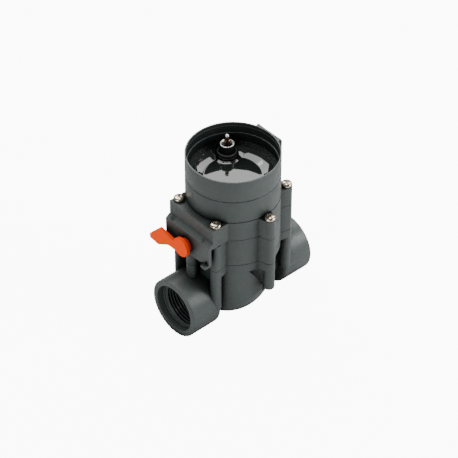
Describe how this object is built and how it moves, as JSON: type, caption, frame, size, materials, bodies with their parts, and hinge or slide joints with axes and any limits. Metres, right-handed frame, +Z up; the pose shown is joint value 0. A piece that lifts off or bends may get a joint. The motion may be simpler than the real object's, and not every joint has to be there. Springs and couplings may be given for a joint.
{
  "type": "in-line diaphragm valve with control socket",
  "caption": "In-line plastic diaphragm valve: threaded sockets, clamped round bonnet, side bleed lever, and an open round cup with a potted base and an off-centre contact post.",
  "frame": {"origin": "on the ground at the foot of the upright axis that the diaphragm, solenoid and cup share", "axes": "+X along the pipe from inlet to outlet, +Z up along the diaphragm axis towards the cup's rim, and the lever is on the -X side"},
  "size_m": [0.11, 0.083, 0.1323],
  "materials": {
    "body_plastic": "moulded grey-green glass-filled plastic, fine matt grain",
    "black_plastic": "smooth black moulded plastic",
    "white_plastic": "natural white moulded plastic",
    "orange_plastic": "orange moulded plastic, semi-gloss",
    "potting_resin": "self-levelled black epoxy, glossy",
    "seal_rubber": "black nitrile rubber",
    "diaphragm_rubber": "black fabric-reinforced rubber",
    "stainless_steel": "stainless steel, lightly brushed",
    "nickel_plated_steel": "nickel plated, satin",
    "brass": "machined brass",
    "copper": "enamelled copper wire; brass stands in for copper in density"
  },
  "bodies": {
    "valve": {"valve_body": "body_plastic", "chamber_ring": "body_plastic", "bonnet": "body_plastic", "solenoid_housing": "body_plastic", "control_cup": "body_plastic", "potting_resin": "potting_resin", "contact_post": "black_plastic", "contact_post_seal": "seal_rubber", "contact_sleeve": "nickel_plated_steel", "contact_insulator": "black_plastic", "contact_pin": "nickel_plated_steel", "lead_wire_inner": "copper", "lead_wire_outer": "copper", "core_tube": "brass", "core_tube_seal": "seal_rubber", "fixed_core": "stainless_steel", "pilot_nozzle": "brass", "plunger_spring": "stainless_steel", "coil_bobbin": "white_plastic", "coil_winding": "copper", "latching_magnet": "nickel_plated_steel", "yoke_plate": "nickel_plated_steel", "diaphragm": "diaphragm_rubber", "diaphragm_spring": "stainless_steel", "spindle_seal": "seal_rubber", "pilot_duct_seal": "seal_rubber", "bonnet_seal": "seal_rubber", "cup_seal": "seal_rubber", "cover_screw_1": "stainless_steel", "cover_screw_2": "stainless_steel", "cover_screw_3": "stainless_steel", "cover_screw_4": "stainless_steel", "cover_screw_5": "stainless_steel", "cover_screw_6": "stainless_steel"},
    "lever": {"manual_lever": "orange_plastic", "lever_spindle": "black_plastic"},
    "bleed_valve": {"bleed_pin": "brass"},
    "diaphragm_centre": {"diaphragm_plate": "white_plastic", "seat_guide": "white_plastic", "stem_nut": "brass"},
    "solenoid_plunger": {"plunger": "stainless_steel", "plunger_seal": "seal_rubber"}
  },
  "joints": [
    {"name": "lever_turn", "type": "hinge", "parent": "valve", "child": "lever", "pos_m": [-0.0418, 0, 0.07455], "axis": [1, 0, 0], "range_deg": [0, 190]},
    {"name": "bleed_pin_slide", "type": "slide", "parent": "valve", "child": "bleed_valve", "axis": [0, 0, 1], "range_m": [-0.0013, 0]},
    {"name": "diaphragm_lift", "type": "slide", "parent": "valve", "child": "diaphragm_centre", "axis": [0, 0, 1], "range_m": [0, 0.006], "stiffness_N_per_m": 500, "deforming": ["diaphragm", "diaphragm_spring"]},
    {"name": "plunger_lift", "type": "slide", "parent": "valve", "child": "solenoid_plunger", "axis": [0, 0, 1], "range_m": [0, 0.002], "stiffness_N_per_m": 150, "deforming": ["plunger_spring"]}
  ],
  "couplings": [
    {"joint": "bleed_pin_slide", "follows": "lever_turn", "m_per_rad": -0.00036}
  ]
}
